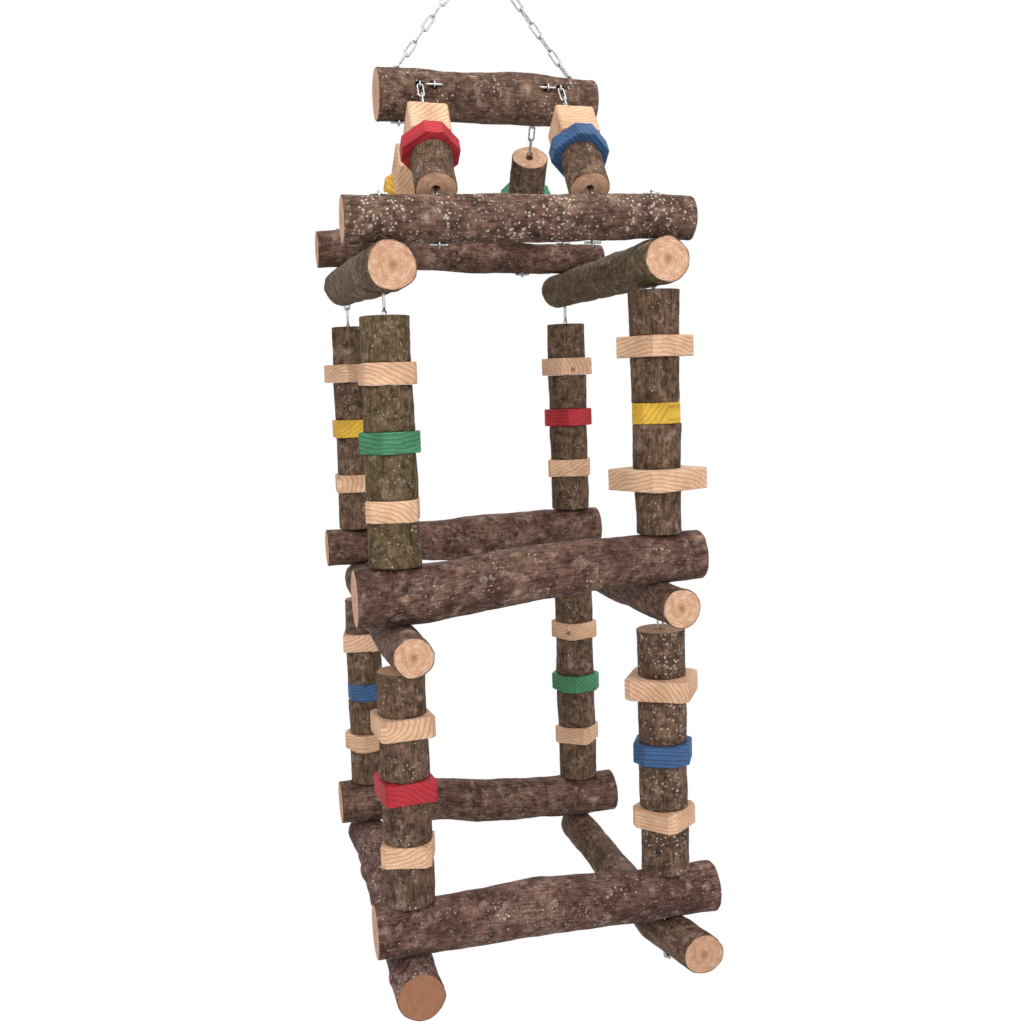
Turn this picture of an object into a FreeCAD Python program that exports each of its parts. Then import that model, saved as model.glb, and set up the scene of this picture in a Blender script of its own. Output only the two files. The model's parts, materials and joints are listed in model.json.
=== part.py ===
import FreeCAD, Part
import math
import os
import Sketcher
from FreeCAD import Placement, Rotation, Vector

# A hanging climbing tower for pet birds: three square decks of natural branches on four corner chains,
# with sawn branch posts and wooden blocks threaded between them, under a short branch slung from a ring.
# Origin: the centre of the hanging ring. +X runs along the front rails, +Y to the back, +Z up. Millimetres.

SIZES = {
    # Clearances and shared wood sizes
    "seat_gap": 0.3,            # between pieces that rest on one another
    "rocking_gap": 0.8,         # under a post's foot, which rocks on the rail below as the tower sways
    "seam": 1,                  # chain's inner ends short of the wood's face, where one body ends
    "bore_radius": 5.4,          # drilled holes that the chain runs through
    "bore_reach": 300,          # length of the drill, longer than any branch is thick
    "span_x": 310,              # between the corner chains, left to right
    "span_y": 350,              # between the corner chains, front to back
    "tower_x": -2.4,            # tower's middle, measured from the ring
    "tower_y": 17.7,            # its front is the heavier side, so its middle hangs behind the ring
    "seat_reach": 34,           # level stretch of a branch inside each corner chain
    "top_deck": -370,           # height at which the top rails lie on the top crossbars
    "mid_deck": -787,           # the same for the middle frame, at its front left corner
    "bottom_deck": -1170,       # the same for the bottom frame, at its front left corner
    "tan_thickness": 24,        # raw pine blocks
    "dyed_thickness": 24,       # coloured blocks
    # Ring and chain
    "ring_radius": 13,          # to the middle of the ring's wire
    "ring_wire": 3.2,
    "ring_spread": 4,           # of each sling chain from the ring's lowest point
    "chain_wire": 2.4,
    "chain_width": 9,
    "chain_pitch": 19.27,       # from one link to the next, pulled tight
    "chain_play": 0.6,          # between two links
    "sling_links": 9,
    # Header branch
    "header_height": -179,
    "header_left_end": -133,
    "header_right_end": 137,
    "header_left_radius": 31,
    "header_waist_radius": 28.5,
    "header_waist_x": -42,
    "header_swell_radius": 30.5,
    "header_swell_x": 46,
    "header_right_radius": 26,
    "header_rise": 2,           # left end above the middle, and right end below it
    "sling_left_x": -107,
    "sling_right_x": 108,
    "link_stand": 3,            # top wire of the header's end links above the bark
    # Four leaning stacks between the header and the top rails
    "leg_bore_height": 7,       # of the front-to-back bores above the header's axis
    "front_left_leg_x": -85,
    "front_right_leg_x": 88,
    "back_left_leg_x": -68,
    "back_right_leg_x": 71.1,
    "front_left_leg_lean": -9.4,    # sideways from a stack's head to its foot
    "front_right_leg_lean": -7,
    "back_left_leg_lean": -9.4,
    "back_right_leg_lean": 20,
    "log_foot_gap": 10,         # along the chain, below a stack whose log is lowest
    "cube_foot_gap": 22,        # the same where the square block is lowest
    "leg_log_radius": 24,
    "leg_log_length": 55,
    "leg_cube_side": 46,
    "leg_cube_length": 45,
    "leg_cube_clip": 2,
    "leg_dyed_side": 60,
    "leg_dyed_thickness": 20,
    "leg_dyed_clip": 14,
    # Pins through the chains' end links
    "pin_radius": 1.5,
    "pin_length": 20,
    # Pivots of the posts under the frames
    "top_front_pivot": -421,
    "top_back_pivot": -418,
    "mid_front_pivot": -822,
    "mid_back_pivot": -807,
}

# Each rail: its overhangs past the corner chains, three radii, and how far its middle bows up.
RAILS = {
    "top_front": dict(left_overhang=41, right_overhang=45, left_radius=25, middle_radius=26,
                      right_radius=25, bow=0),
    "top_back": dict(left_overhang=37, right_overhang=55, left_radius=24.5, middle_radius=23,
                     right_radius=20, bow=-2),
    "mid_front": dict(left_overhang=47, right_overhang=51, left_radius=33, middle_radius=31.5,
                      right_radius=29, bow=4),
    "mid_back": dict(left_overhang=44, right_overhang=38, left_radius=24.5, middle_radius=31,
                     right_radius=28, bow=-3),
    "bottom_front": dict(left_overhang=42, right_overhang=60, left_radius=31, middle_radius=32.5,
                         right_radius=29.5, bow=4),
    "bottom_back": dict(left_overhang=43, right_overhang=52, left_radius=29, middle_radius=30,
                        right_radius=29, bow=-6),
}

# Each crossbar: overhangs, radii, sideways drift of its two ends, and the lift of its two seats above the deck.
CROSSBARS = {
    "top_left": dict(front_overhang=40, back_overhang=25, front_radius=26.5, back_radius=25,
                     front_drift=5, back_drift=-2, front_lift=0, back_lift=9),
    "top_right": dict(front_overhang=50, back_overhang=25, front_radius=25.5, back_radius=23,
                      front_drift=-2, back_drift=-4, front_lift=2, back_lift=-2),
    "mid_left": dict(front_overhang=70, back_overhang=22, front_radius=22.5, back_radius=22,
                     front_drift=5, back_drift=3, front_lift=0, back_lift=20),
    "mid_right": dict(front_overhang=55, back_overhang=22, front_radius=22, back_radius=23,
                      front_drift=5, back_drift=4, front_lift=25, back_lift=22),
    "bottom_left": dict(front_overhang=53, back_overhang=25, front_radius=26.5, back_radius=26,
                        front_drift=-1, back_drift=-6, front_lift=0, back_lift=32),
    "bottom_right": dict(front_overhang=62, back_overhang=22, front_radius=24, back_radius=23,
                         front_drift=22, back_drift=1, front_lift=-1, back_lift=3),
}

# Each post: radii at head and foot, free height above its head, and for its three blocks, from the top,
# the side, the clipped corners and the turn about the chain.
POSTS = {
    "upper_front_left": dict(head_radius=26.5, foot_radius=29, headroom=24,
                             top_side=58, top_clip=3, top_turn=-1, middle_side=56, middle_clip=9, middle_turn=33,
                             low_side=56, low_clip=7, low_turn=-14),
    "upper_front_right": dict(head_radius=29, foot_radius=26.5, headroom=5,
                              top_side=68, top_clip=6, top_turn=27, middle_side=55, middle_clip=13, middle_turn=-21,
                              low_side=88, low_clip=8, low_turn=24),
    "upper_back_left": dict(head_radius=22, foot_radius=25, headroom=30,
                            top_side=54, top_clip=4, top_turn=29, middle_side=52, middle_clip=6, middle_turn=0,
                            low_side=53, low_clip=4, low_turn=-3),
    "upper_back_right": dict(head_radius=27, foot_radius=26, headroom=26,
                             top_side=56, top_clip=5, top_turn=12, middle_side=56, middle_clip=9, middle_turn=40,
                             low_side=58, low_clip=4, low_turn=-20),
    "lower_front_left": dict(head_radius=27.5, foot_radius=28, headroom=6,
                             top_side=62, top_clip=5, top_turn=5, middle_side=60, middle_clip=4, middle_turn=6,
                             low_side=57, low_clip=6, low_turn=-15),
    "lower_front_right": dict(head_radius=28, foot_radius=28.5, headroom=11,
                              top_side=76, top_clip=8, top_turn=-32, middle_side=66, middle_clip=16, middle_turn=-28,
                              low_side=60, low_clip=8, low_turn=39),
    "lower_back_left": dict(head_radius=23, foot_radius=25.5, headroom=6,
                            top_side=53, top_clip=4, top_turn=-10, middle_side=46, middle_clip=12, middle_turn=5,
                            low_side=54, low_clip=10, low_turn=20),
    "lower_back_right": dict(head_radius=27, foot_radius=27, headroom=9,
                             top_side=53, top_clip=7, top_turn=20, middle_side=60, middle_clip=13, middle_turn=13,
                             low_side=52, low_clip=6, low_turn=52),
}

DYES = {
    "upper_front_left": "green", "upper_front_right": "yellow", "upper_back_left": "yellow",
    "upper_back_right": "red", "lower_front_left": "red", "lower_front_right": "blue",
    "lower_back_left": "blue", "lower_back_right": "green",
}
LEG_DYES = {"front_left": "red", "front_right": "blue", "back_left": "yellow", "back_right": "green"}

BRANCH_SIDES = 16    # flats round the bark of a rail, a crossbar or the header
POST_SIDES = 14      # flats round a post's bark
BORE_SIDES = 8       # flats round a chain bore
WIRE_SIDES = 4       # flats round a chain's wire
RING_SEGMENTS = 16


# ---------------------------------------------------------------- document and sheet

doc = FreeCAD.newDocument("hanging_tower")
sheet = doc.addObject("Spreadsheet::Sheet", "sizes")


def add_sizes(values, prefix=""):
    """Writes each value into the sheet as plain text, with its name as the cell's alias."""
    for name, value in values.items():
        add_sizes.row += 1
        sheet.set(f"A{add_sizes.row}", prefix + name)
        sheet.set(f"B{add_sizes.row}", str(value))
        sheet.setAlias(f"B{add_sizes.row}", prefix + name)


add_sizes.row = 0
add_sizes(SIZES)
for rail_name, rail_sizes in RAILS.items():
    add_sizes(rail_sizes, rail_name + "_rail_")
for bar_name, bar_sizes in CROSSBARS.items():
    add_sizes(bar_sizes, bar_name + "_bar_")
for post_name, post_sizes in POSTS.items():
    add_sizes(post_sizes, post_name + "_post_")
doc.recompute()

subparts = []


def size(name):
    return float(sheet.get(name))


def cell(name):
    return f"sizes.{name}"


def keep(thing, label):
    """Gives a sub-part its label, which names its file, and puts it on the list to export."""
    thing.Label = label
    subparts.append(thing)
    return thing


def place(thing, x, y, z):
    """Ties a placement's position to three expressions."""
    for axis, expression in zip("xyz", (x, y, z)):
        thing.setExpression(f"Placement.Base.{axis}", expression)
    return thing


# ---------------------------------------------------------------- branches

def polygon_section(name, sides, turn, radius, place_at):
    """One many-sided section of a branch, turned to face along it, at a place given by three expressions.

    The radius is to its flats, and one flat lies on top, so that branches rest flat on one another."""
    ring = doc.addObject("Part::RegularPolygon", name)
    ring.Polygon = sides
    ring.setExpression("Circumradius", f"{radius} / {math.cos(math.pi / sides)}")
    ring.Placement = Placement(Vector(0, 0, 0), turn * Rotation(Vector(0, 0, 1), 180 / sides))
    return place(ring, *place_at)


def prism(name, sides, radius, length, turn, place_at):
    """A regular prism whose radius, length and place are expressions."""
    made = doc.addObject("Part::Prism", name)
    made.Polygon = sides
    made.setExpression("Circumradius", radius)
    made.setExpression("Height", length)
    made.Placement = Placement(Vector(0, 0, 0), turn)
    return place(made, *place_at)


FACING = {"x": Rotation(Vector(0, 1, 0), 90), "y": Rotation(Vector(1, 0, 0), -90), "z": Rotation()}


def bark_loft(name, sides, along, sections):
    """A ruled loft through a branch's sections: (along, radius, sideways, rise), all expressions.

    The flats run straight from section to section."""
    rings = []
    for at, radius, sideways, rise in sections:
        place_at = {"x": (at, sideways, rise), "y": (sideways, at, rise), "z": (sideways, rise, at)}[along]
        rings.append(polygon_section(f"{name}_section", sides, FACING[along], radius, place_at))
    loft = doc.addObject("Part::Loft", f"{name}_bark")
    loft.Sections = rings
    loft.Solid = True
    loft.Ruled = True
    loft.Linearize = True
    return loft


def drilled(name, solid, cuts):
    """The solid less its cuts."""
    removed = doc.addObject("Part::MultiFuse", f"{name}_cuts")
    removed.Shapes = cuts
    wood = doc.addObject("Part::Cut", name)
    wood.Base = solid
    wood.Tool = removed
    return wood


def cross_bore(name, along, x, y):
    """A chain bore right through a branch, along Z or along Y."""
    reach = cell("bore_reach")
    place_at = {"z": (x, y, f"-{reach} / 2"), "y": (x, f"-{reach} / 2", y)}[along]
    return prism(f"{name}_bore", BORE_SIDES, cell("bore_radius"), reach, FACING[along], place_at)


def branch(name, along, sections, bores):
    """A branch lofted through its sections, with chain bores: (direction, x, y), all expressions."""
    bark = bark_loft(name, BRANCH_SIDES, along, sections)
    wood = drilled(name, bark, [cross_bore(name, *bore) for bore in bores])
    return keep(wood, name)


def corner_bores(along_x):
    """The two corner bores of a rail (along X) or of a crossbar (along Y)."""
    span = cell("span_x" if along_x else "span_y")
    ends = (f"-{span} / 2", f"{span} / 2")
    return [("z", end, "0") if along_x else ("z", "0", end) for end in ends]


def rail_axis_rise(rail, side):
    """The rail's axis above its deck at one end: it lies on the crossbar there."""
    deck, depth = rail.split("_")
    lift = cell(f"{deck}_{side}_bar_{depth}_lift")
    return f"({lift} + {cell(f'{rail}_rail_{side}_radius')} + {cell('seat_gap')})"


def add_rail(rail):
    deck, depth = rail.split("_")
    side_rises = {side: rail_axis_rise(rail, side) for side in ("left", "right")}
    seat = f"({cell('span_x')} / 2 - {cell('seat_reach')})"
    ends = {side: f"({cell('span_x')} / 2 + {cell(f'{rail}_rail_{side}_overhang')})" for side in side_rises}
    radii = {side: cell(f"{rail}_rail_{side}_radius") for side in side_rises}
    middle_rise = f"({side_rises['left']} + {side_rises['right']}) / 2 + {cell(f'{rail}_rail_bow')}"
    sections = [
        ("-" + ends["left"], radii["left"], "0", side_rises["left"]),
        ("-" + seat, radii["left"], "0", side_rises["left"]),
        ("0", cell(f"{rail}_rail_middle_radius"), "0", middle_rise),
        (seat, radii["right"], "0", side_rises["right"]),
        (ends["right"], radii["right"], "0", side_rises["right"]),
    ]
    bores = corner_bores(True)
    if deck == "top":
        for side in ("left", "right"):
            leg = f"{depth}_{side}_leg"
            bores.append(("z", f"{cell(leg + '_x')} + {cell(leg + '_lean')} - {cell('tower_x')}", "0"))
    body = branch(f"{rail}_rail", "x", sections, bores)
    sign = "-" if depth == "front" else "+"
    place(body, cell("tower_x"), f"{cell('tower_y')} {sign} {cell('span_y')} / 2", cell(f"{deck}_deck"))


def add_crossbar(bar):
    deck, side = bar.split("_")
    seat = f"({cell('span_y')} / 2 - {cell('seat_reach')})"
    radii = {depth: cell(f"{bar}_bar_{depth}_radius") for depth in ("front", "back")}
    rises = {depth: f"({cell(f'{bar}_bar_{depth}_lift')} - {radii[depth]})" for depth in radii}
    ends = {depth: f"({cell('span_y')} / 2 + {cell(f'{bar}_bar_{depth}_overhang')})" for depth in radii}
    sections = [
        ("-" + ends["front"], radii["front"], cell(f"{bar}_bar_front_drift"), rises["front"]),
        ("-" + seat, radii["front"], "0", rises["front"]),
        (seat, radii["back"], "0", rises["back"]),
        (ends["back"], radii["back"], cell(f"{bar}_bar_back_drift"), rises["back"]),
    ]
    body = branch(f"{bar}_crossbar", "y", sections, corner_bores(False))
    sign = "-" if side == "left" else "+"
    place(body, f"{cell('tower_x')} {sign} {cell('span_x')} / 2", cell("tower_y"), cell(f"{deck}_deck"))


def add_header():
    rise = cell("header_rise")
    sections = [
        (cell("header_left_end"), cell("header_left_radius"), "0", rise),
        (cell("header_waist_x"), cell("header_waist_radius"), "0", f"{rise} / 2"),
        (cell("header_swell_x"), cell("header_swell_radius"), "0", f"-{rise} / 2"),
        (cell("header_right_end"), cell("header_right_radius"), "0", f"-{rise}"),
    ]
    bores = [("z", cell(f"sling_{side}_x"), "0") for side in ("left", "right")]
    for leg in ("front_left", "front_right", "back_left", "back_right"):
        bores.append(("y", cell(f"{leg}_leg_x"), cell("leg_bore_height")))
    body = branch("header_branch", "x", sections, bores)
    place(body, "0", "0", cell("header_height"))


# ---------------------------------------------------------------- posts and blocks

def post_foot(post):
    """Height of a post's foot: on top of the rail below it."""
    tier, depth, side = post.split("_")
    deck = "mid" if tier == "upper" else "bottom"
    rail_radius = cell(f"{deck}_{depth}_rail_{side}_radius")
    lift = cell(f"{deck}_{side}_bar_{depth}_lift")
    rail_top = f"{cell(f'{deck}_deck')} + {lift} + {cell('seat_gap')} + 2 * {rail_radius}"
    return f"({rail_top} + {cell('rocking_gap')})"


def post_head(post):
    """Height of a post's head: its headroom below the underside of the crossbar above it."""
    tier, depth, side = post.split("_")
    deck = "top" if tier == "upper" else "mid"
    bar_radius = cell(f"{deck}_{side}_bar_{depth}_radius")
    lift = cell(f"{deck}_{side}_bar_{depth}_lift")
    return f"({cell(f'{deck}_deck')} + {lift} - 2 * {bar_radius} - {cell(f'{post}_post_headroom')})"


def post_corner(post):
    """Expressions for a post's place in plan."""
    tier, depth, side = post.split("_")
    x = f"{cell('tower_x')} {'-' if side == 'left' else '+'} {cell('span_x')} / 2"
    y = f"{cell('tower_y')} {'-' if depth == 'front' else '+'} {cell('span_y')} / 2"
    return x, y


BLOCK_ROWS = ("top", "middle", "low")


def block_thickness(row):
    return cell("dyed_thickness" if row == "middle" else "tan_thickness")


def post_log_length(post):
    """The post's four logs are cut alike: what the three blocks and their gaps leave, shared by four."""
    blocks = f"(2 * {cell('tan_thickness')} + {cell('dyed_thickness')} + 6 * {cell('seat_gap')})"
    return f"(({post_head(post)} - {post_foot(post)} - {blocks}) / 4)"


def block_foot(post, row):
    """Height of a block's underside above its post's foot."""
    log = post_log_length(post)
    gap = cell("seat_gap")
    below = {
        "low": f"{log} + {gap}",
        "middle": f"2 * {log} + {cell('tan_thickness')} + 3 * {gap}",
        "top": f"3 * {log} + {cell('tan_thickness')} + {cell('dyed_thickness')} + 5 * {gap}",
    }
    return below[row]


def add_post(post):
    """One tapered branch, drilled for the chain and sawn into four logs with room for three blocks."""
    length = f"({post_head(post)} - {post_foot(post)})"
    sections = [
        ("0", cell(f"{post}_post_foot_radius"), "0", "0"),
        (length, cell(f"{post}_post_head_radius"), "0", "0"),
    ]
    bark = bark_loft(post, POST_SIDES, "z", sections)
    cuts = [prism(f"{post}_bore", BORE_SIDES, cell("bore_radius"), length, Rotation(), ("0", "0", "0"))]
    widest = f"(4 * {cell(f'{post}_post_foot_radius')} + 4 * {cell(f'{post}_post_head_radius')})"
    for row in BLOCK_ROWS:
        slot = doc.addObject("Part::Box", f"{post}_{row}_slot")
        slot.setExpression("Length", widest)
        slot.setExpression("Width", widest)
        slot.setExpression("Height", f"{block_thickness(row)} + 2 * {cell('seat_gap')}")
        place(slot, f"-{widest} / 2", f"-{widest} / 2", f"{block_foot(post, row)} - {cell('seat_gap')}")
        cuts.append(slot)
    logs = drilled(f"{post}_logs", bark, cuts)
    x, y = post_corner(post)
    keep(place(logs, x, y, post_foot(post)), f"{post}_logs")


def origin_plane(body, role):
    return next(feature for feature in body.Origin.OriginFeatures if feature.Role == role)


def block(name, side, thickness, clip):
    """A square block of sawn wood with clipped corners and a bore up its middle, standing on Z = 0."""
    body = doc.addObject("PartDesign::Body", name)
    square = body.newObject("Sketcher::SketchObject", name + "_square")
    square.AttachmentSupport = [(origin_plane(body, "XY_Plane"), "")]
    square.MapMode = "FlatFace"
    corners = [Vector(-20, -20, 0), Vector(20, -20, 0), Vector(20, 20, 0), Vector(-20, 20, 0)]
    square.addGeometry([Part.LineSegment(corners[i], corners[(i + 1) % 4]) for i in range(4)], False)
    square.addConstraint([Sketcher.Constraint("Coincident", i, 2, (i + 1) % 4, 1) for i in range(4)])
    square.addConstraint([Sketcher.Constraint("Horizontal", i) for i in (0, 2)])
    square.addConstraint([Sketcher.Constraint("Vertical", i) for i in (1, 3)])
    square.addConstraint(Sketcher.Constraint("Symmetric", 0, 1, 2, 1, -1, 1))
    square.addConstraint(Sketcher.Constraint("Equal", 0, 1))
    width = square.addConstraint(Sketcher.Constraint("DistanceX", 0, 1, 0, 2, 40))
    square.setExpression(f"Constraints[{width}]", side)
    slab = body.newObject("PartDesign::Pad", name + "_slab")
    slab.Profile = square
    slab.setExpression("Length", thickness)
    doc.recompute()
    upright = [
        f"Edge{i}" for i, edge in enumerate(slab.Shape.Edges, 1)
        if abs(edge.tangentAt(edge.FirstParameter).z) > 0.9
    ]
    corner = body.newObject("PartDesign::Chamfer", name + "_corners")
    corner.Base = (slab, upright)
    corner.setExpression("Size", clip)
    bore = body.newObject("PartDesign::SubtractivePrism", name + "_bore")
    bore.Polygon = BORE_SIDES
    bore.setExpression("Circumradius", cell("bore_radius"))
    bore.setExpression("Height", thickness)
    return body


def post_block(post, row, name):
    stem = f"{post}_post_{row}_"
    made = block(name, cell(stem + "side"), block_thickness(row), cell(stem + "clip"))
    made.Placement = Placement(Vector(0, 0, 0), Rotation(Vector(0, 0, 1), 1))
    made.setExpression("Placement.Rotation.Angle", cell(stem + "turn"))
    x, y = post_corner(post)
    return place(made, x, y, f"{post_foot(post)} + {block_foot(post, row)}")


def add_post_blocks(post):
    """The dyed block in the middle and the raw pine blocks above and below it."""
    keep(post_block(post, "middle", f"{post}_dyed"), f"{post}_{DYES[post]}_block")
    pines = [post_block(post, row, f"{post}_{row}_pine") for row in ("top", "low")]
    pair = doc.addObject("Part::Compound", f"{post}_pines")
    pair.Links = pines
    keep(pair, f"{post}_pine_blocks")


# ---------------------------------------------------------------- leaning stacks

LEGS = ("front_left", "front_right", "back_left", "back_right")


def between(stations, at):
    """Radius and rise at one place along a branch, read between its stations: (along, radius, rise)."""
    for near, far in zip(stations, stations[1:]):
        if near[0] <= at <= far[0]:
            share = (at - near[0]) / (far[0] - near[0])
            return [near[k] + share * (far[k] - near[k]) for k in (1, 2)]
    raise ValueError(f"{at} is off the branch")


def header_at(x):
    rise = size("header_rise")
    stations = [
        (size("header_left_end"), size("header_left_radius"), rise),
        (size("header_waist_x"), size("header_waist_radius"), rise / 2),
        (size("header_swell_x"), size("header_swell_radius"), -rise / 2),
        (size("header_right_end"), size("header_right_radius"), -rise),
    ]
    radius, rise = between(stations, x)
    return radius, size("header_height") + rise


def rail_at(rail, x):
    """Radius and axis height of a rail above or below a place in X."""
    deck, depth = rail.split("_")
    seat = size("span_x") / 2 - size("seat_reach")
    ends = {}
    for side in ("left", "right"):
        radius = size(f"{rail}_rail_{side}_radius")
        ends[side] = (radius, size(f"{deck}_{side}_bar_{depth}_lift") + radius + size("seat_gap"))
    middle = (ends["left"][1] + ends["right"][1]) / 2 + size(f"{rail}_rail_bow")
    stations = [(-seat, *ends["left"]), (0, size(f"{rail}_rail_middle_radius"), middle), (seat, *ends["right"])]
    radius, rise = between(stations, x - size("tower_x"))
    return radius, size(f"{deck}_deck") + rise


def bark_reach(radius, height):
    """How far a branch's bark lies from its axis, level, at a height above it near the middle of its side."""
    flat = radius * math.tan(math.pi / BRANCH_SIDES)
    return radius - max(0, abs(height) - flat) * math.tan(2 * math.pi / BRANCH_SIDES)


def outward(leg):
    return Vector(0, -1 if leg.startswith("front") else 1, 0)


def leg_head(leg):
    """Where a stack's chain leaves the header: in front of the mouth of its front-to-back bore."""
    x = size(f"{leg}_leg_x")
    height = size("header_height") + size("leg_bore_height")
    radius, axis = header_at(x)
    mouth = bark_reach(radius, height - axis)
    return Vector(x, 0, height) + outward(leg) * (mouth + size("link_stand"))


def leg_foot(leg):
    """Where it enters the top rail: above the mouth of the upright bore in the rail's top."""
    x = size(f"{leg}_leg_x") + size(f"{leg}_leg_lean")
    radius, axis = rail_at("top_" + leg.split("_")[0], x)
    return Vector(x, size("tower_y"), axis + radius + size("link_stand")) + outward(leg) * size("span_y") / 2


def foot_gap(leg):
    return size("cube_foot_gap" if leg == "back_right" else "log_foot_gap")


def leg_line(leg):
    """Top and foot of a stack's chain: the middles of its end wires, which hook into two standing links."""
    return leg_head(leg) - outward(leg) * LINK_GAP, leg_foot(leg) - UP * LINK_GAP


def leg_placement(leg, rise, turn=0):
    """A placement on the stack's chain, rise above its foot, with Z along the chain."""
    top, foot = leg_line(leg)
    upward = (top - foot).normalize()
    return Placement(foot + upward * rise, Rotation(UP, upward) * Rotation(UP, turn))


def add_leg(leg):
    """From the foot up: a bark log, a dyed block turned half across, and a square pine block.

    The back right stack is threaded the other way up."""
    gap = size("seat_gap")
    log_foot = foot_gap(leg)
    dyed_foot = log_foot + size("leg_log_length") + gap
    cube_foot = dyed_foot + size("leg_dyed_thickness") + gap
    if leg == "back_right":
        cube_foot = foot_gap(leg)
        dyed_foot = cube_foot + size("leg_cube_length") + gap
        log_foot = dyed_foot + size("leg_dyed_thickness") + gap
    dyed = block(f"{leg}_leg_dyed", cell("leg_dyed_side"), cell("leg_dyed_thickness"), cell("leg_dyed_clip"))
    dyed.Placement = leg_placement(leg, dyed_foot, 45)
    keep(dyed, f"leg_{leg}_{LEG_DYES[leg]}_block")
    cube = block(f"{leg}_leg_cube", cell("leg_cube_side"), cell("leg_cube_length"), cell("leg_cube_clip"))
    cube.Placement = leg_placement(leg, cube_foot)
    keep(cube, f"leg_{leg}_pine_block")
    log = doc.addObject("Part::Cut", f"{leg}_leg_log")
    cut_to = (cell("leg_log_length"), Rotation(), ("0", "0", "0"))
    log.Base = prism(f"{leg}_leg_bark", POST_SIDES, cell("leg_log_radius"), *cut_to)
    log.Tool = prism(f"{leg}_leg_bore", BORE_SIDES, cell("bore_radius"), *cut_to)
    log.Placement = leg_placement(leg, log_foot)
    return log


# ---------------------------------------------------------------- chain

ACROSS, DEEP, UP = Vector(1, 0, 0), Vector(0, 1, 0), Vector(0, 0, 1)


def wire_loop(corners, wire, sides):
    """A closed loop of wire through corners in the XZ plane, mitred at each one, all its faces flat."""
    count = len(corners)
    rings = []
    for i, corner in enumerate(corners):
        coming = (corner - corners[i - 1]).normalize()
        going = (corners[(i + 1) % count] - corner).normalize()
        inward = (going - coming).normalize()
        stretch = 1 / math.cos(coming.getAngle(going) / 2)
        ring = []
        for j in range(sides):
            angle = 2 * math.pi * j / sides
            ring.append(
                corner + inward * (wire / 2 * stretch * math.cos(angle)) + DEEP * (wire / 2 * math.sin(angle))
            )
        rings.append(ring)
    faces = []
    for i in range(count):
        for j in range(sides):
            near, far = rings[i], rings[(i + 1) % count]
            quad = [near[j], far[j], far[(j + 1) % sides], near[(j + 1) % sides]]
            faces.append(Part.Face(Part.makePolygon(quad + quad[:1])))
    shell = Part.makeShell(faces)
    shell.sewShape()
    solid = Part.makeSolid(shell)
    if solid.Volume < 0:
        solid.reverse()
    return solid


def upright_rod(outline, length):
    """A straight rod along Z from a closed outline in the XY plane."""
    return Part.Face(Part.makePolygon(outline + outline[:1])).extrude(UP * length)


WIRE = size("chain_wire")
PLAY = size("chain_play")
LINK_GAP = WIRE + PLAY                                  # between the middles of two wires that hook together
LINK_HALF = (size("chain_pitch") + LINK_GAP) / 2        # from a link's middle to the middle of its end wire
LINK_BEND = (size("chain_width") - WIRE) / 2            # from its middle to the middle of its side wire


def make_link():
    """A welded chain link standing along Z in the XZ plane, its round ends drawn as half octagons."""
    flat = LINK_BEND * math.tan(math.pi / 8)
    quarter = [(LINK_BEND, LINK_HALF - LINK_BEND + flat), (flat, LINK_HALF)]
    half = quarter + [(-x, z) for x, z in reversed(quarter)]
    return wire_loop([Vector(x, 0, z) for x, z in half + [(-x, -z) for x, z in half]], WIRE, WIRE_SIDES)


LINK = make_link()


def laid(shape, at, along, across):
    """A copy of a shape drawn along Z and across X, with its middle at a point and turned to lie along."""
    copy = shape.copy()
    copy.Placement = Placement(at, Rotation(across, along.cross(across), along, "ZXY"))
    return copy


def link_from(end, along, across):
    """A link whose first end wire has its middle at a point and which runs along from there."""
    return laid(LINK, end + along * LINK_HALF, along, across)


def hidden_stretch(start, along, length, across):
    """Chain inside a bore, from the outer face of one link to that of the next, as a square rod whose
    corners come as far out as its links."""
    clear = length - 2 * PLAY
    if clear < 2 * WIRE:
        return []
    wide = size("chain_width") / 2
    outline = [Vector(x, y, 0) for x, y in ((wide, 0), (0, wide), (-wide, 0), (0, -wide))]
    return [laid(upright_rod(outline, clear), start + along * PLAY, along, across)]


def pinned_end(face, out, pin_along):
    """The last link of a chain, drawn out of a bore and held by a pin across it: the pieces, and where
    the link's inner end comes to."""
    radius = size("pin_radius")
    middle = face + out * (radius + size("seat_gap"))
    length = size("pin_length")
    corners = [2 * math.pi * j / WIRE_SIDES for j in range(WIRE_SIDES)]
    rod = upright_rod([Vector(radius * math.cos(a), radius * math.sin(a), 0) for a in corners], length)
    pin = laid(rod, middle - pin_along * (length / 2), pin_along, pin_along.cross(out))
    end = middle + out * (radius + PLAY + WIRE / 2)
    link = link_from(end, -out, pin_along.cross(out))
    return [link, pin], end - out * (2 * LINK_HALF + WIRE / 2)


def under_pin(reach_at, x):
    """How far out a pin along X is seated: on the bark's thickest place beneath it, as the branch tapers."""
    half = size("pin_length") / 2
    return max(reach_at(x - half), reach_at(x), reach_at(x + half))


def through_bore(eye, out, across, face, pin_along):
    """A chain through a bore: an eye link that stands out of one mouth, and a pinned end at the other face."""
    pieces, inner = pinned_end(face, -out, pin_along)
    start = eye - out * (2 * LINK_HALF + WIRE / 2)
    length = (start - inner).dot(out)
    return [link_from(eye, -out, across)] + pieces + hidden_stretch(inner, out, length, across)


def chain(start, end, across, count=None):
    """Links from one end wire's middle to the other's, evenly spread, each turned a quarter from the last."""
    along = (end - start).normalize()
    across = (across - along * across.dot(along)).normalize()
    reach = (end - start).Length
    count = count or round((reach - LINK_GAP) / size("chain_pitch"))
    step = (reach - 2 * LINK_HALF) / max(count - 1, 1)
    turns = (across, along.cross(across))
    return [laid(LINK, start + along * (LINK_HALF + i * step), along, turns[i % 2]) for i in range(count)]


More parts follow.
